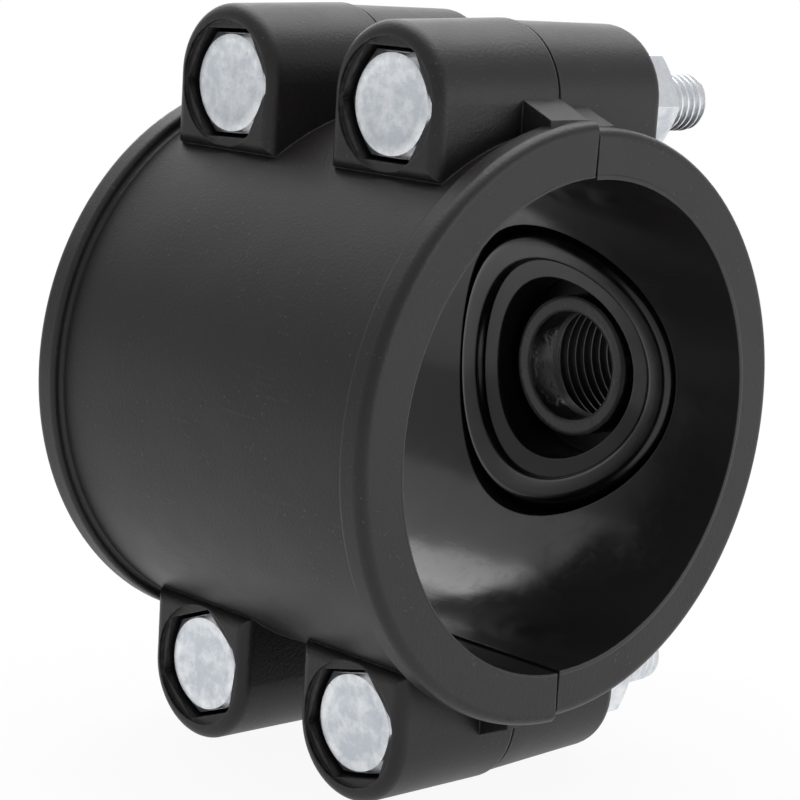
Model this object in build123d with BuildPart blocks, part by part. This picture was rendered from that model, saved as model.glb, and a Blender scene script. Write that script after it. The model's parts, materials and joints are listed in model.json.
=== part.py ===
from build123d import *
import os

os.makedirs("parts", exist_ok=True)

# Tapping saddle for a 63 mm pipe with a G 1/2 outlet.
# The pipe runs along Y, the outlet points along +X and Z is up.
# The origin is on the pipe axis, halfway along the saddle.

# shells
pipe_radius = 31.5
outlet_clearance = 0.1  # the outlet half is bored this much wider than the pipe
strap_clearance = 0.4  # and the strap half this much
saddle_length = 63.4
parting_offset = 1.1  # the halves meet this far on the strap side of the pipe axis
outlet_wall = 4.9
strap_wall = 5.4
rim_width = 4.0  # raised rim at each end
rim_height = 1.5
rim_rounding = 1.4  # outer end edge of the rim
rim_softening = 0.6  # the other edges of the rim
seam_gap_outside = 0.12  # the seam opens as a wedge towards the bore
seam_gap_inside = 0.45

# lugs
bolt_inset = 16.7  # bolt axis from each end of the saddle
bolt_standoff = 7.9  # bolt axis outside the bore
lug_rise = 0.8  # the round end of a lug is centred this far outside the bolt axis
strap_lug_length = 21.25
strap_lug_radius = 10.05  # at the parting plane
strap_lug_draft = 1.6  # degrees
outlet_lug_length = 20.7
outlet_lug_radius = 9.75
outlet_lug_draft = 0.6
lug_face_rounding = 1.7
lug_end_rounding = 2.0
lug_seam_rounding = 1.0
web_rise = 2.2  # top of the web above the rim
web_length_strap = 7.0
web_length_outlet = 4.8
web_root = 0.5  # the web starts this deep in the side of its lug

# bolts and nuts, M8
bolt_radius = 4.0
bolt_length = 52.0
bolt_tip = 0.9
thread_slack = 0.06  # between bolt and nut
bolt_hole_slack = 0.5
across_flats = 13.0
head_height = 5.3
nut_height = 6.5
hex_bevel = 30  # degrees, on the corners of heads and nuts
hex_crown = 12.3  # diameter of the flat left inside the bevel
head_recess = 1.2  # outer face of a head below the lug face
pocket_slack = 0.55  # each side of the head
pocket_rim_radius = 8.2
pocket_rim_depth = 0.53

# seal
seal_section = 4.6
seal_radius = 18.2  # centre line of the section, around the outlet axis
seal_rounding = 1.5
seal_seat = 0.05  # off the groove floor, and off the pipe that presses it flush
groove_slack = 0.25
groove_depth = 3.3  # below the bore

# outlet
collar_radius_inside = 13.1  # coring inside the collar that carries the seal
tube_radius = 10.2
tube_bore = 7.9
tube_setback = 1.4  # end of the tube below the bore
tube_bore_length = 6.2
coring_depth = 6.1
thread_radius = 10.48  # G 1/2
thread_length = 16.9
outlet_mouth_bevel = 1.2
boss_radius = 16.5
boss_edge = 1.2
boss_foot_rounding = 1.5
pad_radius = 24.0
pad_height = 2.0  # over the outer surface of the shell
pad_edge = 1.0

overcut = 1.0  # cutting bodies run this far past what they cut
nearby = 0.01  # for picking corners by their place

parting_x = -parting_offset
outlet_bore = pipe_radius + outlet_clearance
strap_bore = pipe_radius + strap_clearance
outlet_shell = outlet_bore + outlet_wall
strap_shell = strap_bore + strap_wall
strap_face_x = parting_x - strap_lug_length
outlet_face_x = parting_x + outlet_lug_length
head_face_x = strap_face_x + head_recess
head_seat_x = head_face_x + head_height
bolt_spacing = saddle_length - 2 * bolt_inset
bolt_height = outlet_bore + bolt_standoff
lug_centre = bolt_height + lug_rise
web_start = lug_centre - strap_lug_radius  # lugs and webs start inside the shell wall

tube_end_x = outlet_bore + tube_setback
thread_start_x = tube_end_x + tube_bore_length
outlet_end_x = thread_start_x + thread_length
coring_floor_x = outlet_bore + coring_depth
pad_face_x = outlet_shell + pad_height
boss_root_x = outlet_bore / 2  # inside the bore that is cut afterwards
groove_floor = outlet_bore + groove_depth
groove_inside = seal_radius - seal_section / 2 - groove_slack
groove_outside = seal_radius + seal_section / 2 + groove_slack

# name: place along the pipe, side, turn of the head and its pocket in degrees
stations = {
    "upper_front": (-1, 1, 0.0),
    "upper_back": (1, 1, 2.5),
    "lower_front": (-1, -1, 13.5),
    "lower_back": (1, -1, 21.5),
}


def lug_place(name):
    """Upper lugs move along the pipe, and turn over to make the lower ones."""
    along, side, _ = stations[name]
    return Location((0, along * bolt_spacing / 2, 0), (90 - 90 * side, 0, 0))


def bolt_plane(name, x):
    """Square to the bolt axis, facing the outlet, with its own X along the pipe."""
    along, side, _ = stations[name]
    place = (x, along * bolt_spacing / 2, side * bolt_height)
    return Plane(place, x_dir=(0, 1, 0), z_dir=(1, 0, 0))


def shell_section(bore, shell):
    """Half section of a shell: X is the radius, Y runs along the pipe."""
    end = saddle_length / 2
    step = end - rim_width
    rim = shell + rim_height
    with BuildSketch() as section:
        with BuildLine():
            Polyline(
                (bore, -end), (rim, -end), (rim, -step), (shell, -step),
                (shell, step), (rim, step), (rim, end), (bore, end), close=True,
            )
        make_face()
        outer = section.vertices().filter_by_position(Axis.X, rim - nearby, rim + nearby)
        fillet(outer.group_by(Axis.Y)[0] + outer.group_by(Axis.Y)[-1], rim_rounding)
        inner = section.vertices().filter_by_position(Axis.Y, -step - nearby, step + nearby)
        fillet(inner, rim_softening)
    return section.sketch


def lug_section(radius):
    """Round-ended lug, pointing up from the inside of the shell wall."""
    with BuildSketch() as section:
        with Locations((0, lug_centre)):
            Circle(radius)
        with Locations((0, web_start)):
            Rectangle(2 * radius, lug_centre - web_start, align=(Align.CENTER, Align.MIN))
    return section.sketch


def web_section(shell, lug_radius):
    """Sloping web between a lug and the rim beside it."""
    flank = bolt_spacing / 2 + lug_radius - web_root
    crest = saddle_length / 2 - rim_width / 2
    top = shell + rim_height
    with BuildSketch() as section:
        with BuildLine():
            Polyline(
                (flank, web_start), (flank, top + web_rise), (crest, top), (crest, web_start),
                close=True,
            )
        make_face()
    return section.sketch


# upper lugs and webs of each half; the lower ones are these turned over
with BuildPart() as strap_lug:
    with BuildSketch(Plane.YZ.offset(parting_x)):
        add(lug_section(strap_lug_radius))
    extrude(amount=-strap_lug_length, taper=strap_lug_draft)
    fillet(strap_lug.faces().sort_by(Axis.X)[0].edges(), lug_face_rounding)
    fillet(strap_lug.faces().sort_by(Axis.X)[-1].edges(), lug_seam_rounding)

with BuildPart() as outlet_lug:
    with BuildSketch(Plane.YZ.offset(parting_x)):
        add(lug_section(outlet_lug_radius))
    extrude(amount=outlet_lug_length, taper=outlet_lug_draft)
    fillet(outlet_lug.faces().sort_by(Axis.X)[-1].edges(), lug_end_rounding)

with BuildPart() as strap_web:
    with BuildSketch(Plane.YZ.offset(parting_x)):
        add(web_section(strap_shell, strap_lug_radius))
        mirror(about=Plane.YZ)
    extrude(amount=-web_length_strap)

with BuildPart() as outlet_web:
    with BuildSketch(Plane.YZ.offset(parting_x)):
        add(web_section(outlet_shell, outlet_lug_radius))
        mirror(about=Plane.YZ)
    extrude(amount=web_length_outlet)

# what each half loses: the bore, the holes, and the pocket of every head
with BuildPart() as seam_relief:
    with BuildSketch(Plane.XZ) as wedge:
        with BuildLine():
            Polyline(
                (parting_x, strap_bore - overcut),
                (parting_x - seam_gap_inside, strap_bore - overcut),
                (parting_x - seam_gap_outside, strap_shell + rim_height + overcut),
                (parting_x, strap_shell + rim_height + overcut), close=True,
            )
        make_face()
        mirror(about=Plane.XZ)
    extrude(amount=saddle_length / 2, both=True)

with BuildPart() as strap_half:
    with BuildSketch(Plane.XY):
        add(shell_section(strap_bore, strap_shell))
    revolve(axis=Axis.Y)
    split(bisect_by=Plane.YZ.offset(parting_x), keep=Keep.BOTTOM)
    with Locations(*[lug_place(name) for name in stations]):
        add(strap_lug.part)
    with Locations(Location(), Location((0, 0, 0), (180, 0, 0))):
        add(strap_web.part)
    with BuildSketch(Plane.XZ):
        Circle(strap_bore)
    extrude(amount=saddle_length / 2, both=True, mode=Mode.SUBTRACT)
    for name, (_, _, turn) in stations.items():
        with BuildSketch(bolt_plane(name, strap_face_x)):
            Circle(pocket_rim_radius)
        extrude(amount=pocket_rim_depth, mode=Mode.SUBTRACT)
        with BuildSketch(bolt_plane(name, strap_face_x)):
            RegularPolygon(across_flats / 2 + pocket_slack, 6, major_radius=False, rotation=-turn)
        extrude(amount=head_seat_x - strap_face_x, mode=Mode.SUBTRACT)
        with BuildSketch(bolt_plane(name, strap_face_x)):
            Circle(bolt_radius + bolt_hole_slack)
        extrude(amount=strap_lug_length, mode=Mode.SUBTRACT)
    add(seam_relief.part, mode=Mode.SUBTRACT)

# the groove's floor follows the pipe
with BuildPart() as seal_groove:
    with BuildSketch(Plane.YZ):
        Circle(groove_outside)
        Circle(groove_inside, mode=Mode.SUBTRACT)
    extrude(amount=groove_floor + overcut)
    with BuildSketch(Plane.XZ):
        Circle(groove_floor)
    extrude(amount=groove_outside + overcut, both=True, mode=Mode.INTERSECT)

# the seal as the pipe presses it, flush with the bore
with BuildPart() as seal_ring:
    with BuildSketch(Plane.YZ):
        Circle(seal_radius + seal_section / 2)
        Circle(seal_radius - seal_section / 2, mode=Mode.SUBTRACT)
    extrude(amount=groove_floor + overcut)
    with BuildSketch(Plane.XZ):
        Circle(groove_floor - seal_seat)
        Circle(pipe_radius + seal_seat, mode=Mode.SUBTRACT)
    extrude(amount=groove_outside + overcut, both=True, mode=Mode.INTERSECT)
    fillet(seal_ring.edges().filter_by(GeomType.LINE, reverse=True), seal_rounding)

# pad over the seal and threaded boss, turned around the outlet axis
with BuildPart() as boss:
    with BuildSketch(Plane.XY) as boss_section:
        with BuildLine():
            Polyline(
                (boss_root_x, 0), (boss_root_x, pad_radius), (pad_face_x, pad_radius),
                (pad_face_x, boss_radius), (outlet_end_x, boss_radius), (outlet_end_x, 0),
                close=True,
            )
        make_face()
        rims = boss_section.vertices().filter_by_position(
            Axis.Y, boss_radius - nearby, pad_radius + nearby
        )
        pad_rim = rims.group_by(Axis.Y)[-1].sort_by(Axis.X)[-1]
        boss_foot, boss_rim = rims.group_by(Axis.Y)[0].sort_by(Axis.X)
        fillet(pad_rim, pad_edge)
        fillet(boss_foot, boss_foot_rounding)
        chamfer(boss_rim, boss_edge)
    revolve(axis=Axis.X)

# the way through: coring around the tube, plain bore, then the threaded socket
with BuildPart() as outlet_core:
    with BuildSketch(Plane.XY):
        with BuildLine():
            Polyline(
                (0, 0), (0, collar_radius_inside), (coring_floor_x, collar_radius_inside),
                (coring_floor_x, tube_radius), (tube_end_x, tube_radius), (tube_end_x, tube_bore),
                (thread_start_x, tube_bore), (thread_start_x, thread_radius),
                (outlet_end_x - outlet_mouth_bevel, thread_radius),
                (outlet_end_x, thread_radius + outlet_mouth_bevel), (outlet_end_x, 0),
                close=True,
            )
        make_face()
    revolve(axis=Axis.X)

with BuildPart() as outlet_half:
    with BuildSketch(Plane.XY):
        add(shell_section(outlet_bore, outlet_shell))
    revolve(axis=Axis.Y)
    split(bisect_by=Plane.YZ.offset(parting_x), keep=Keep.TOP)
    with Locations(*[lug_place(name) for name in stations]):
        add(outlet_lug.part)
    with Locations(Location(), Location((0, 0, 0), (180, 0, 0))):
        add(outlet_web.part)
    add(boss.part)
    with BuildSketch(Plane.XZ):
        Circle(outlet_bore)
    extrude(amount=saddle_length / 2, both=True, mode=Mode.SUBTRACT)
    add(outlet_core.part, mode=Mode.SUBTRACT)
    add(seal_groove.part, mode=Mode.SUBTRACT)
    for name in stations:
        with BuildSketch(bolt_plane(name, parting_x)):
            Circle(bolt_radius + bolt_hole_slack)
        extrude(amount=outlet_lug_length, mode=Mode.SUBTRACT)

for name, (_, _, turn) in stations.items():
    seat = bolt_plane(name, head_seat_x)
    with BuildPart() as bolt:
        with BuildSketch(seat):
            RegularPolygon(across_flats / 2, 6, major_radius=False, rotation=-turn)
        extrude(amount=-head_height)
        with BuildSketch(seat.offset(-head_height)):
            Circle(hex_crown / 2)
        extrude(amount=head_height, taper=hex_bevel - 90, mode=Mode.INTERSECT)
        with BuildSketch(seat):
            Circle(bolt_radius)
        extrude(amount=bolt_length)
        chamfer(bolt.edges().sort_by(Axis.X)[-1], bolt_tip)
    bolt.part.label = "bolt_" + name
    export_step(bolt.part, "parts/bolt_" + name + ".step")

    base = bolt_plane(name, outlet_face_x)
    with BuildPart() as nut:
        with BuildSketch(base):
            RegularPolygon(across_flats / 2, 6, major_radius=False, rotation=-turn)
        extrude(amount=nut_height)
        with BuildSketch(base):
            Circle(hex_crown / 2)
        extrude(amount=nut_height, taper=hex_bevel - 90, mode=Mode.INTERSECT)
        with BuildSketch(base.offset(nut_height)):
            Circle(hex_crown / 2)
        extrude(amount=-nut_height, taper=hex_bevel - 90, mode=Mode.INTERSECT)
        with BuildSketch(base):
            Circle(bolt_radius + thread_slack)
        extrude(amount=nut_height, mode=Mode.SUBTRACT)
    nut.part.label = "nut_" + name
    export_step(nut.part, "parts/nut_" + name + ".step")

outlet_half.part.label = "outlet_half"
strap_half.part.label = "strap_half"
seal_ring.part.label = "seal_ring"
export_step(outlet_half.part, "parts/outlet_half.step")
export_step(strap_half.part, "parts/strap_half.step")
export_step(seal_ring.part, "parts/seal_ring.step")
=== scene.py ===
import bpy
import json
import math
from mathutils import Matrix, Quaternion, Vector


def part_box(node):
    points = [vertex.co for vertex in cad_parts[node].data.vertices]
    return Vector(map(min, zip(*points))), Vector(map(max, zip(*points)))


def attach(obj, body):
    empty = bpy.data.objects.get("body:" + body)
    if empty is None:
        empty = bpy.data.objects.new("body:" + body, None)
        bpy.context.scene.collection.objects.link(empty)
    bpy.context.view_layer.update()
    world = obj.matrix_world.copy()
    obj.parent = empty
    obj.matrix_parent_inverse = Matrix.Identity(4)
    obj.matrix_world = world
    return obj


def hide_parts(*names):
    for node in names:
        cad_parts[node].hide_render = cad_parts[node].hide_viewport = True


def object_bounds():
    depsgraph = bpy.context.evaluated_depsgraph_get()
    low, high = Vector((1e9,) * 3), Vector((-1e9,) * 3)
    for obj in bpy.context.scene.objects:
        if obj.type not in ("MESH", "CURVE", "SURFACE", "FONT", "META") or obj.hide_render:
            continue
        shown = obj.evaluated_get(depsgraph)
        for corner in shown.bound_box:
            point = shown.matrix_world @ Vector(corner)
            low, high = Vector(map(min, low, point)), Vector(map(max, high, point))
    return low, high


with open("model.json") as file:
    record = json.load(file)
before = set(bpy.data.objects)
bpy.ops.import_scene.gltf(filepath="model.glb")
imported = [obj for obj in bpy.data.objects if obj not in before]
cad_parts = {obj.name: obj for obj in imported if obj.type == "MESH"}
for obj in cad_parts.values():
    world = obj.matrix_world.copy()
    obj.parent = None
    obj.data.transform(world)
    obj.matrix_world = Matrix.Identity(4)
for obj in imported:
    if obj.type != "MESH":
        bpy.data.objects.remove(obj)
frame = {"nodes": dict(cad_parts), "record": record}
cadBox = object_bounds()
mm = 0.001
mounts = {mount["name"]: mount for mount in frame["record"]["mounts"]}
print("frame loaded:", len(frame["nodes"]), "parts")


def middle(node):
    low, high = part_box(node)
    return (low + high) / 2


camera = {
    "aim": (-1.11, 0.27, -1.93),  # mm
    "distance": 328.7,  # mm
    "heading": 45.04,  # degrees from +Y towards +X
    "down": 11.0,  # degrees under the horizon
    "roll": 3.54,
    "lens": 109.4,
    "sensor": 36.0,
    "sees": (0.01, 20.0),  # nearest and farthest, in metres
}


def addCamera(c):
    turn, tilt = math.radians(c["heading"]), math.radians(c["down"])
    ahead = Vector((math.sin(turn) * math.cos(tilt), math.cos(turn) * math.cos(tilt), -math.sin(tilt)))
    data = bpy.data.cameras.new("camera")
    data.lens, data.sensor_width = c["lens"], c["sensor"]
    data.clip_start, data.clip_end = c["sees"]
    cam = bpy.data.objects.new("camera", data)
    bpy.context.scene.collection.objects.link(cam)
    level = ahead.to_track_quat("-Z", "Y")
    cam.rotation_mode = "QUATERNION"
    cam.rotation_quaternion = level @ Quaternion((0, 0, 1), math.radians(c["roll"]))
    cam.location = (Vector(c["aim"]) - ahead * c["distance"]) * mm
    bpy.context.scene.camera = cam


addCamera(camera)
print("camera placed")


class Wire:
    # wraps a socket, so that sums written on it add Math nodes
    def __init__(self, nodes, socket):
        self.nodes, self.socket = nodes, socket

    def maths(self, operation, first, second=0.0):
        return self.nodes.add("Math", {"operation": operation}, {0: first, 1: second})

    def __add__(self, other):
        return self.maths("ADD", self, other)

    def __sub__(self, other):
        return self.maths("SUBTRACT", self, other)

    def __rsub__(self, other):
        return self.maths("SUBTRACT", other, self)

    def __mul__(self, other):
        return self.maths("MULTIPLY", self, other)

    def __pow__(self, other):
        return self.maths("POWER", self, other)

    def __rpow__(self, other):
        return self.maths("POWER", other, self)

    __radd__ = __add__
    __rmul__ = __mul__

    def either(self, other):  # the larger of two masks
        return self.maths("MAXIMUM", self, other)

    def size(self):
        return self.maths("ABSOLUTE", self)

    def step(self, low, high):  # 0 below low, 1 above high, smooth between
        return self.nodes.add(
            "MapRange",
            {"interpolation_type": "SMOOTHSTEP"},
            {"Value": self, "From Min": low, "From Max": high, "To Min": 0.0, "To Max": 1.0},
        )

    def within(self, limit, fade):  # 1 below the limit, 0 above it, fading on both sides of it, in mm
        return 1 - self.step((limit - fade) * mm, (limit + fade) * mm)

    def between(self, low, high):  # stretches 0 to 1 over low to high
        return self * (high - low) + low


class Nodes:
    # a node tree and the one method that adds to it
    def __init__(self, tree):
        self.tree = tree

    def feed(self, socket, value):
        if isinstance(value, Wire):
            self.tree.links.new(value.socket, socket)
        else:
            socket.default_value = value

    def add(self, kind, settings=None, values=None, output=0):
        node = self.tree.nodes.new("ShaderNode" + kind)
        for name, value in (settings or {}).items():
            setattr(node, name, value)
        for name, value in (values or {}).items():
            self.feed(node.inputs[name], value)
        return Wire(self, node.outputs[output])

    def seenDirectly(self, inGloss):  # 1 for the camera and through clear parts, inGloss in reflections
        camera, glossy, through = (
            self.add("LightPath", output=ray)
            for ray in ("Is Camera Ray", "Is Glossy Ray", "Is Transmission Ray")
        )
        return camera.either(glossy * inGloss).either(through)


class Shader(Nodes):
    # one material, its Principled node and what feeds it
    def __init__(self, name, **fixed):
        self.material = bpy.data.materials.new(name)
        self.material.use_nodes = True
        super().__init__(self.material.node_tree)
        self.surface = self.tree.nodes["Principled BSDF"]
        self.place = self.add("TexCoord", output="Object")
        for socket, value in fixed.items():
            self.surface.inputs[socket.replace("_", " ")].default_value = value

    def axes(self):
        return [self.add("SeparateXYZ", {}, {0: self.place}, axis) for axis in "XYZ"]

    def noise(self, lump, detail, roughness=0.55, place=None):  # size of one lump in mm
        values = {
            "Vector": place or self.place,
            "Scale": 1 / (lump * mm),
            "Detail": detail,
            "Roughness": roughness,
        }
        return self.add("TexNoise", {}, values, "Fac")

    def spots(self, lump, detail, low, high, roughness=0.55, place=None):  # 1 where noise is over high
        return self.noise(lump, detail, roughness, place).step(low, high)

    def stretched(self, x, y, z):  # the same place, drawn out along some axes
        return self.add("VectorMath", {"operation": "MULTIPLY"}, {0: self.place, 1: (x, y, z)}, "Vector")

    def blend(self, share, first, second):  # colours
        return self.add("Mix", {"data_type": "RGBA"}, {0: share, 6: first, 7: second}, 2)

    def blendNormals(self, share, first, second):
        return self.add("Mix", {"data_type": "VECTOR"}, {0: share, 4: first, 5: second}, 1)

    def rounded(self, radius):  # normal with the edges softened, radius in mm
        return self.add("Bevel", {"samples": 6}, {"Radius": radius * mm}, "Normal")

    def edges(self, radius, faint=0.01, full=0.16):  # 1 on edges, fading out over the radius
        true = self.add("NewGeometry", output="Normal")
        normals = {0: self.rounded(radius), 1: true}
        turned = self.add("VectorMath", {"operation": "DOT_PRODUCT"}, normals, "Value")
        return (1 - turned).step(faint, full)

    def bump(self, height, depth, normal=None):  # depth in mm
        values = {"Height": height, "Distance": depth * mm}
        if normal:
            values["Normal"] = normal
        return self.add("Bump", {}, values, "Normal")

    def wear(self, **links):
        for socket, value in links.items():
            self.feed(self.surface.inputs[socket.replace("_", " ")], value)
        return self.material


plastic = {
    "colour": (0.0150, 0.0126, 0.0136, 1),
    # painted light: the bore is the same black plastic, given a lighter colour so that its shaded hollow
    # reads brighter
    "boreColour": (0.0210, 0.0190, 0.0200, 1),
    "rubbedColour": (0.068, 0.064, 0.066, 1),  # on edges and in scuffs
    "dustColour": (0.14, 0.135, 0.13, 1),
    "shellGloss": (0.36, 0.50),  # roughness of the moulded grain, from patch to patch
    "boreGloss": (0.11, 0.21),
    "blotchGloss": 0.05,  # roughness that blotches add in the bore
    "edgeSoftness": 0.28,  # mm
    "tubeSoftness": 1.1,  # the tube's end is worn rounder than the rest
    "wearWidth": 0.7,
    # zones: a limit in mm and the fade on both sides of it
    "boreSkin": (0.6, 0.1),  # outside the bore, what still counts as polished
    "sealZone": (20.9, 0.2),  # from the outlet axis
    "tubeZone": (11.0, 0.3),
    "coringZone": (38.0, 0.5),  # from the pipe axis
    "outletStart": (21.0, 1.0),  # along the outlet axis
    # noise: lump in mm, detail, and roughness where it differs
    "patches": (8.0, 4.0),
    "grain": (0.42, 2.0, 0.6),
    "ripple": (13.0, 1.0),  # the slight sink and flow of a moulding
    "wave": (10.0, 1.0),
    # spots: lump in mm, detail, where they start and where they are full
    "blotches": (1.3, 3.0, 0.50, 0.66),
    "rubbing": (1.1, 4.0, 0.40, 0.68),
    "mottle": (1.7, 4.0, 0.48, 0.66, 0.6),  # on the tube
    "dust": (0.42, 1.0, 0.70, 0.78),
    "dustPatches": (0.44, 0.62),
    "scuffPatches": (0.50, 0.62),
    "alongPipe": (0.8, 2.0, 0.62, 0.72),  # scratches
    "alongStretch": (1.0, 0.10, 1.0),
    "acrossPipe": (0.7, 2.0, 0.66, 0.76),
    "acrossStretch": (0.25, 1.0, 0.13),
    # strengths, from 0 to 1
    "scuffs": 0.4,
    "edgePale": 0.8,
    "scuffPale": 0.35,
    "borePale": 0.35,  # share of it that is left in the bore
    "mottlePale": 0.3,
    "dustPale": 0.5,
    # relief: depths in mm and the heights that share them
    "flowDepth": 0.16,
    "waveHeight": 0.6,
    "grainDepth": 0.046,
    "scuffHeight": 0.8,
    "boreDepth": 0.00736,
    "boreHeights": (0.25, 0.4, 2.5),  # of grain, scratches and mottle
}


def blackPlastic(p):
    s = Shader("blackPolypropylene", IOR=1.49, Specular_IOR_Level=0.42)
    x, y, z = s.axes()
    pipeReach = (x * x + z * z) ** 0.5  # from the pipe axis
    outletReach = (y * y + z * z) ** 0.5
    skinDepth, skinFade = p["boreSkin"]
    inBore = pipeReach.within(mounts["pipe_bore"]["dims"]["r_mm"] + skinDepth, skinFade)
    besideTube = outletReach.within(*p["sealZone"]) * pipeReach.within(*p["coringZone"])
    inOutlet = besideTube * (1 - x.within(*p["outletStart"]))
    onTube = outletReach.within(*p["tubeZone"]) * inOutlet
    polished = inBore.either(inOutlet)
    rough = 1 - polished

    patches = s.noise(*p["patches"])
    grain = s.noise(*p["grain"])
    along = s.spots(*p["alongPipe"], place=s.stretched(*p["alongStretch"]))
    across = s.spots(*p["acrossPipe"], place=s.stretched(*p["acrossStretch"]))
    scuffs = along.either(across) * patches.step(*p["scuffPatches"]) * p["scuffs"]
    rubbed = s.edges(p["wearWidth"]) * s.spots(*p["rubbing"])
    mottle = s.spots(*p["mottle"]) * onTube
    dust = s.spots(*p["dust"]) * patches.step(*p["dustPatches"])

    softened = s.blendNormals(onTube, s.rounded(p["edgeSoftness"]), s.rounded(p["tubeSoftness"]))
    wave = s.noise(*p["wave"]) * inBore * p["waveHeight"]
    flow = s.bump(s.noise(*p["ripple"]) + wave, p["flowDepth"], softened)
    fine = s.bump(grain + scuffs * p["scuffHeight"], p["grainDepth"], flow)
    grainHeight, scratchHeight, mottleHeight = p["boreHeights"]
    boreRelief = grain * grainHeight + along * scratchHeight + mottle * mottleHeight
    smooth = s.bump(boreRelief, p["boreDepth"], flow)

    pale = (rubbed * p["edgePale"]).either(scuffs * p["scuffPale"]) * rough.between(p["borePale"], 1.0)
    # the bore takes the lighter colour: painted light standing in for light that its hollow lacks
    black = s.blend(inBore, p["colour"], p["boreColour"])
    rubbedBlack = s.blend(pale.either(mottle * p["mottlePale"]), black, p["rubbedColour"])
    dull = patches.between(*p["shellGloss"])
    bright = patches.between(*p["boreGloss"]) + s.spots(*p["blotches"]) * p["blotchGloss"]
    return s.wear(
        Base_Color=s.blend(dust * p["dustPale"] * rough, rubbedBlack, p["dustColour"]),
        Roughness=dull * rough + bright * polished,
        Normal=s.blendNormals(polished, fine, smooth),
    )


zinc = {
    "colour": (0.88, 0.895, 0.91, 1),
    "cloudColour": (0.62, 0.66, 0.71, 1),
    "gloss": (0.34, 0.50),
    "clouds": (2.8, 6.0, 0.30, 0.72, 0.7),  # spots, as in the plastic
    "pits": (0.42, 2.0, 0.60, 0.74),
    "turning": 0.22,  # mm between the turned rings on the crown
    "waver": 300.0,  # how fast the rings change along the bolt
    "ringDetail": 2.0,
    "dishZone": (5.05, 0.35),  # from the bolt's axis, a limit and its fade in mm
    "headsEnd": (-13.5, 1.5),  # along X, between the heads and the nuts
    "dishDull": 0.35,
    "edgeWidth": 0.35,  # mm
    "edgeClean": 0.8,
    "edgeGloss": 0.08,
    "edgeSoftness": 0.15,
    "depth": 0.03,
    "heights": (0.25, 0.5, 0.7),  # of rings, pits and clouds
}


def zincPlate(p):
    s = Shader("zincPlatedSteel", Metallic=1.0)
    x, y, z = s.axes()
    axis = middle("bolt_upper_back")  # the other three are its mirror images
    fromAxis = ((y.size() - axis.y) ** 2 + (z.size() - axis.z) ** 2) ** 0.5
    clouds = s.spots(*p["clouds"])
    pits = s.spots(*p["pits"])
    turned = s.add("CombineXYZ", {}, {0: fromAxis * (1 / (p["turning"] * mm)), 1: x * p["waver"]})
    rings = s.noise(1 / mm, p["ringDetail"], place=turned)  # that place is scaled already
    inDish = fromAxis.within(*p["dishZone"]) * x.within(*p["headsEnd"])
    worn = s.edges(p["edgeWidth"])
    dull = (clouds + inDish * p["dishDull"]) * (1 - worn * p["edgeClean"])
    ringHeight, pitHeight, cloudHeight = p["heights"]
    relief = rings * ringHeight + pits * pitHeight + clouds * cloudHeight
    return s.wear(
        Base_Color=s.blend(dull, p["colour"], p["cloudColour"]),
        Roughness=clouds.between(*p["gloss"]) - worn * p["edgeGloss"],
        Normal=s.bump(relief, p["depth"], s.rounded(p["edgeSoftness"])),
    )


rubber = {
    "colour": (0.0045, 0.0045, 0.005, 1),
    "bloomColour": (0.010, 0.010, 0.0105, 1),
    "gloss": (0.17, 0.30),
    "bloom": (2.6, 4.0),  # lump in mm and detail
    "bloomShows": (0.42, 0.66),
    "pores": (0.22, 2.0),
    "poreDepth": 0.006,
}


def sealRubber(p):
    s = Shader("sealRubber", IOR=1.52)
    bloom = s.noise(*p["bloom"])
    return s.wear(
        Base_Color=s.blend(bloom.step(*p["bloomShows"]), p["colour"], p["bloomColour"]),
        Roughness=bloom.between(*p["gloss"]),
        Normal=s.bump(s.noise(*p["pores"]) + bloom, p["poreDepth"]),
    )


bodyPlastic = blackPlastic(plastic)
boltZinc = zincPlate(zinc)
ringRubber = sealRubber(rubber)
for half in ("outlet_half", "strap_half"):
    for materialSlot in frame["nodes"][half].material_slots:
        materialSlot.material = bodyPlastic
print("finishes made")


def skin(name, rings, sharp, closed=False):  # rings of points, joined one to the next
    points, faces, starts = [], [], []
    for ring in rings:
        starts.append((len(points), len(ring)))
        points += ring
    pairs = list(zip(starts, starts[1:])) + ([(starts[-1], starts[0])] if closed else [])
    for (a, aCount), (b, bCount) in pairs:
        count = max(aCount, bCount)
        for i in range(count):
            j = (i + 1) % count
            if aCount == 1:
                faces.append((a, b + j, b + i))
            elif bCount == 1:
                faces.append((a + i, a + j, b))
            else:
                faces.append((a + i, a + j, b + j, b + i))
    mesh = bpy.data.meshes.new(name)
    mesh.from_pydata(points, [], faces)
    mesh.shade_smooth()
    mesh.set_sharp_from_angle(angle=math.radians(sharp))
    mesh.update()
    piece = bpy.data.objects.new(name, mesh)
    bpy.context.scene.collection.objects.link(piece)
    return piece


def around(centre, x, radius, count, start=0.0):  # radius may be a function of the angle
    ring = []
    for i in range(count):
        angle = start + 2 * math.pi * i / count
        r = radius(angle) if callable(radius) else radius
        ring.append(Vector((x, centre.y + r * math.cos(angle), centre.z + r * math.sin(angle))))
    return ring


def smoothTo(t):
    t = min(max(t, 0.0), 1.0)
    return t * t * (3 - 2 * t)


def threadShape(phase, flat):  # 0 at the root, 1 at the crest, with flat lands at both
    height = abs(2 * (phase % 1) - 1)
    return smoothTo((height - flat) / (1 - 2 * flat))


stations = {  # turn of each head and its pocket, in degrees
    "upper_front": 0.0,
    "upper_back": 2.5,
    "lower_front": 13.5,
    "lower_back": 21.5,
}

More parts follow.
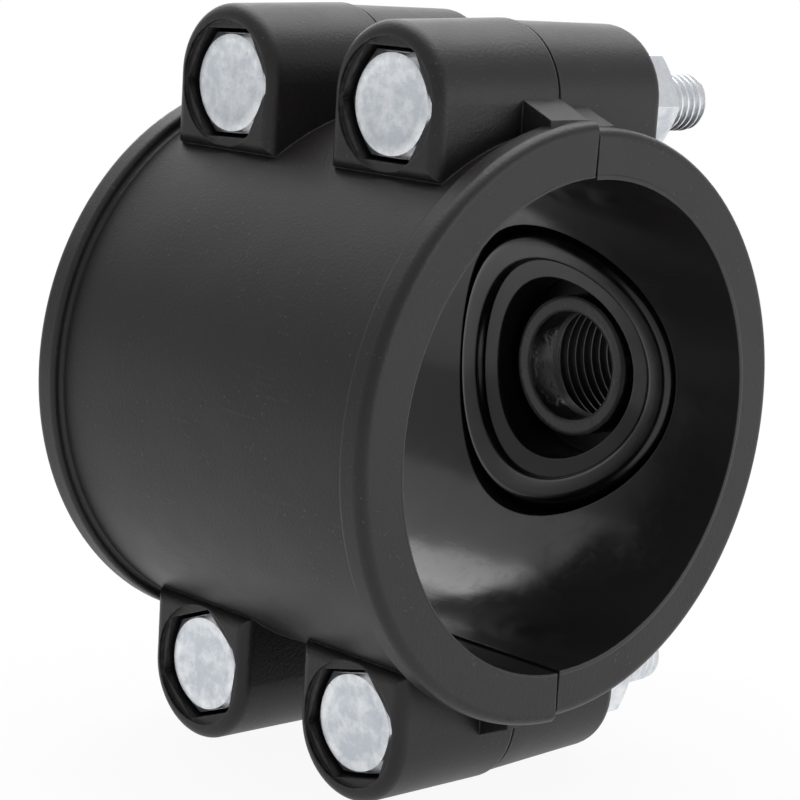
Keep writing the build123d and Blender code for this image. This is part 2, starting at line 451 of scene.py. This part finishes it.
bolt = {
    "acrossFlats": 13.0,
    "headHeight": 5.3,
    "crown": 6.34,  # radius of the flat on the head
    "crownDrop": 0.03,  # its rim lies this much lower
    "bevel": 30.0,
    "edge": 0.12,  # mm from the crown down to where the bevel starts
    "cornerPull": 0.02,  # share by which the corner's first ring is drawn in
    "cornerDrop": 0.03,
    "dish": 0.10,  # depth of the forged hollow in a head
    "dishRings": (0.40, 0.79),  # shares of the crown, on the hollow's floor
    "rimRings": (0.84, 0.96),  # and on the flat around it
    "shank": 3.92,
    "threadTop": 3.98,
    "threadRoot": 3.40,
    "threadFlat": 0.16,  # share of a flank that lies flat at root and crest
    "pitch": 1.25,
    "threadLength": 24.0,
    "fadeTurns": 1.5,
    "tip": 1.0,
    "segments": 72,
    "rowsPerTurn": 10,
}


def hexReach(flats, turn):  # distance from the axis to a hexagon's side at each angle
    def reach(angle):
        side = (angle - turn) % (math.pi / 3) - math.pi / 6
        return flats / 2 * mm / math.cos(side)
    return reach


def hexEnd(centre, x, inward, b, turn, dish=0.0):  # crown, then bevel; inward is +1 or -1
    count, crown = b["segments"], b["crown"] * mm
    reach = hexReach(b["acrossFlats"], turn)
    slope = math.tan(math.radians(b["bevel"]))
    steps = [(share, dish) for share in b["dishRings"]] + [(share, 0.0) for share in b["rimRings"]]
    rings = [around(centre, x + inward * depth * mm, crown * share, count, turn) for share, depth in steps]
    rings.append(around(centre, x + inward * b["crownDrop"] * mm, crown, count, turn))
    edge = []
    for i, point in enumerate(around(centre, x, reach, count, turn)):
        beyond = max(reach(turn + 2 * math.pi * i / count) - crown, 0)
        edge.append(point + Vector((inward * (beyond * slope + b["edge"] * mm), 0, 0)))
    face = Vector((x, centre.y, centre.z))
    rings.append([point.lerp(face, b["cornerPull"]) for point in edge])
    rings.append([point + Vector((inward * b["cornerDrop"] * mm, 0, 0)) for point in edge])
    return rings


def makeBolt(name, headTurn, b):
    node = "bolt_" + name
    low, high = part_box(node)
    centre = middle(node)
    turn = -math.radians(headTurn)
    count = b["segments"]
    seat = low.x + b["headHeight"] * mm
    rings = [[Vector((low.x + b["dish"] * mm, centre.y, centre.z))]]
    rings += hexEnd(centre, low.x, 1, b, turn, b["dish"])
    rings.append(around(centre, seat, hexReach(b["acrossFlats"], turn), count, turn))
    rings.append(around(centre, seat, b["shank"] * mm, count, turn))
    start = high.x - b["threadLength"] * mm
    rows = int(b["threadLength"] / b["pitch"] * b["rowsPerTurn"])
    for row in range(rows + 1):
        x = start + (high.x - start) * row / rows
        fadeIn = smoothTo(row / b["rowsPerTurn"] / b["fadeTurns"])
        tipLimit = (b["threadTop"] - max(0.0, b["tip"] - (high.x - x) / mm)) * mm

        def wall(angle):
            phase = (x - start) / (b["pitch"] * mm) - angle / (2 * math.pi)
            crest = threadShape(phase, b["threadFlat"])
            cut = b["threadRoot"] + (b["threadTop"] - b["threadRoot"]) * crest
            return min((b["shank"] + (cut - b["shank"]) * fadeIn) * mm, tipLimit)

        rings.append(around(centre, x, wall, count, turn))
    rings.append([Vector((high.x, centre.y, centre.z))])
    piece = skin("bolt_" + name + "_threaded", rings, sharp=28)
    piece.data.materials.append(boltZinc)
    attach(piece, "strap_side")
    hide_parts(node)


nut = {  # its flats, crown, bevel and pitch are the bolt's
    "room": 0.08,  # mm between its thread's roots and the bolt's crests
    "threadDepth": 0.52,
    "mouth": 0.35,  # mm from the thread's roots out to the countersink's mouth
    "sinkDepth": 0.5,  # of the countersink, along the bolt
    "sinkWidth": 0.85,  # and across
}


def makeNut(name, headTurn, n, b):
    node = "nut_" + name
    low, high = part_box(node)
    centre = middle(node)
    turn = -math.radians(headTurn)
    count = b["segments"]
    bore = (b["threadTop"] + n["room"]) * mm
    mouth = bore + n["mouth"] * mm
    rows = int((high.x - low.x) / (b["pitch"] * mm) * b["rowsPerTurn"])
    outer = hexEnd(centre, high.x, -1, b, turn) + hexEnd(centre, low.x, 1, b, turn)[::-1]
    outer[0] = around(centre, high.x, mouth, count, turn)
    outer[-1] = around(centre, low.x, mouth, count, turn)
    inner = []
    for row in range(rows + 1):
        x = low.x + (high.x - low.x) * row / rows
        inside = min(1.0, min(x - low.x, high.x - x) / (n["sinkDepth"] * mm))

        def wall(angle):
            phase = (x - low.x) / (b["pitch"] * mm) - angle / (2 * math.pi)
            crest = threadShape(phase, b["threadFlat"])
            return max(bore - n["threadDepth"] * mm * crest, mouth - n["sinkWidth"] * mm * inside)

        inner.append(around(centre, x, wall, count, turn))
    piece = skin("nut_" + name + "_threaded", outer + inner, sharp=28, closed=True)
    piece.data.materials.append(boltZinc)
    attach(piece, node + "_body")
    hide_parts(node)


for station, headTurn in stations.items():
    makeBolt(station, headTurn, bolt)
    makeNut(station, headTurn, nut, bolt)
print("bolts and nuts threaded")

seal = {
    "ringRadius": 18.05,  # around the outlet axis, mm
    "halfWidth": 2.05,
    "halfHeight": 2.1,
    "rounding": 1.15,
    "proud": 0.95,  # free, before the pipe presses it flush
    "around": 200,
    "perCorner": 9,
}


def softSquare(s):  # section of the seal, across and out from its centre
    outline = []
    for corner, (acrossSign, outSign) in enumerate(((1, 1), (-1, 1), (-1, -1), (1, -1))):
        for k in range(s["perCorner"]):
            angle = math.pi / 2 * (corner + k / (s["perCorner"] - 1))
            outline.append((
                acrossSign * (s["halfWidth"] - s["rounding"]) + s["rounding"] * math.cos(angle),
                outSign * (s["halfHeight"] - s["rounding"]) + s["rounding"] * math.sin(angle),
            ))
    return outline


def makeSeal(s):
    section = softSquare(s)
    sunk = mounts["pipe_bore"]["dims"]["r_mm"] - s["proud"] + s["halfHeight"]
    rings = []
    for i in range(s["around"]):
        angle = 2 * math.pi * i / s["around"]
        y, z = s["ringRadius"] * math.cos(angle), s["ringRadius"] * math.sin(angle)
        x = math.sqrt(sunk ** 2 - z * z)
        away = Vector((x, 0, z)).normalized()  # from the pipe axis
        onward = Vector((-z * math.cos(angle) / x, -math.sin(angle), math.cos(angle))).normalized()
        side = onward.cross(away).normalized()
        rings.append([(Vector((x, y, z)) + side * across + away * out) * mm for across, out in section])
    piece = skin("seal_ring_free", rings, sharp=60, closed=True)
    piece.data.materials.append(ringRubber)
    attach(piece, "outlet_side")
    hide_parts("seal_ring")


makeSeal(seal)
print("seal laid in its groove")

outletThread = {
    "pitch": 1.814,
    "depth": 1.10,
    "flat": 0.12,  # share of a flank that lies flat at root and crest
    "wallOverlap": 0.02,  # mm that the thread's back stands inside the bored wall
    "rootWall": 0.04,  # mm from that back to the roots
    "endGap": 0.1,  # mm clear of the socket's two ends
    "runIn": 0.5,
    "runOut": 1.6,
    "segments": 128,
    "rowsPerTurn": 12,
}


def makeOutletThread(t):
    mount = mounts["outlet"]
    axis = Vector((0, 0, 0))
    length, centre = mount["dims"]["length_mm"], mount["pos_m"][0] / mm
    start, end = centre - length / 2 + t["endGap"], centre + length / 2 - t["endGap"]
    back = mount["dims"]["r_mm"] - t["wallOverlap"]
    rows = int((end - start) / t["pitch"] * t["rowsPerTurn"])
    inner = []
    for row in range(rows + 1):
        x = start + (end - start) * row / rows
        fade = smoothTo((end - x) / t["runOut"]) * smoothTo((x - start) / t["runIn"])

        def wall(angle):
            crest = threadShape((x - start) / t["pitch"] - angle / (2 * math.pi), t["flat"])
            return (back - t["rootWall"] - t["depth"] * crest * fade) * mm

        inner.append(around(axis, x * mm, wall, t["segments"]))
    outer = [around(axis, x * mm, back * mm, t["segments"]) for x in (end, start)]
    piece = skin("outlet_thread", inner + outer, sharp=50, closed=True)
    piece.data.materials.append(bodyPlastic)
    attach(piece, "outlet_side")


makeOutletThread(outletThread)
print("outlet threaded")

studio = {
    "floorDrop": 0.15,  # mm under the lowest point
    "floorSize": 4.0,  # metres
    "floorPaper": {"Roughness": 0.9, "Specular_IOR_Level": 0.1, "Base_Color": (0.93, 0.93, 0.93, 1)},
    "floorWhite": 0.93,  # share of plain white in the floor that is seen, the rest is lit paper
    "floorFades": (0.16, 0.55),  # metres from the object over which it turns all white
    "floorInGloss": 0.88,  # share of that white that reflections see
    "roomInGloss": 0.42,
    "roomGrey": 0.28,
    "lamps": {  # place and aim in metres, width and height, power
        "top": ((0.28, 0.20, 0.88), (0, 0, 0), (1.1, 1.1), 9.0),
        "above": ((0.05, 0.80, 0.62), (0, 0, 0), (1.1, 0.7), 1.7),
        "front": ((0.45, -0.9, 0.10), (0, 0, 0), (0.7, 0.5), 2.2),
        "back": ((0.75, 0.75, 0.24), (0, 0, 0), (1.2, 0.6), 3.6),
    },
}


def addRoom(s):
    scene = bpy.context.scene
    scene.view_settings.view_transform = "Standard"
    scene.world = bpy.data.worlds.new("studio")
    scene.world.use_nodes = True
    room = Nodes(scene.world.node_tree)
    white = room.add("Background", {}, {"Color": (1, 1, 1, 1)})
    lit = room.add("Background", {}, {"Color": (s["roomGrey"],) * 3 + (1,)})
    shown = room.add("MixShader", {}, {0: room.seenDirectly(s["roomInGloss"]), 1: lit, 2: white})
    room.feed(room.tree.nodes["World Output"].inputs["Surface"], shown)


def addFloor(s):
    half = s["floorSize"] / 2
    base = cadBox[0].z - s["floorDrop"] * mm
    corners = [(-half, -half, base), (half, -half, base), (half, half, base), (-half, half, base)]
    mesh = bpy.data.meshes.new("floor")
    mesh.from_pydata(corners, [], [(0, 1, 2, 3)])
    floor = bpy.data.objects.new("floor", mesh)
    bpy.context.scene.collection.objects.link(floor)
    paper = Shader("floorPaper", **s["floorPaper"])
    white = paper.add("Emission", {}, {"Color": (1, 1, 1, 1), "Strength": 1.0})
    lit = Wire(paper, paper.surface.outputs[0])
    x, y = paper.axes()[:2]
    far = ((x * x + y * y) ** 0.5).step(*s["floorFades"])
    share = paper.seenDirectly(s["floorInGloss"]) * far.between(s["floorWhite"], 1.0)
    shown = paper.add("MixShader", {}, {0: share, 1: lit, 2: white})
    paper.feed(paper.tree.nodes["Material Output"].inputs["Surface"], shown)
    mesh.materials.append(paper.material)


def addLamps(s):
    for name, (place, aim, size, power) in s["lamps"].items():
        light = bpy.data.lights.new(name, "AREA")
        light.shape = "RECTANGLE"
        light.size, light.size_y = size
        light.energy = power
        lamp = bpy.data.objects.new(name, light)
        lamp.location = place
        lamp.rotation_mode = "QUATERNION"
        lamp.rotation_quaternion = (Vector(aim) - Vector(place)).to_track_quat("-Z", "Y")
        lamp.visible_camera = False
        bpy.context.scene.collection.objects.link(lamp)


addRoom(studio)
addFloor(studio)
addLamps(studio)
print("studio lit")
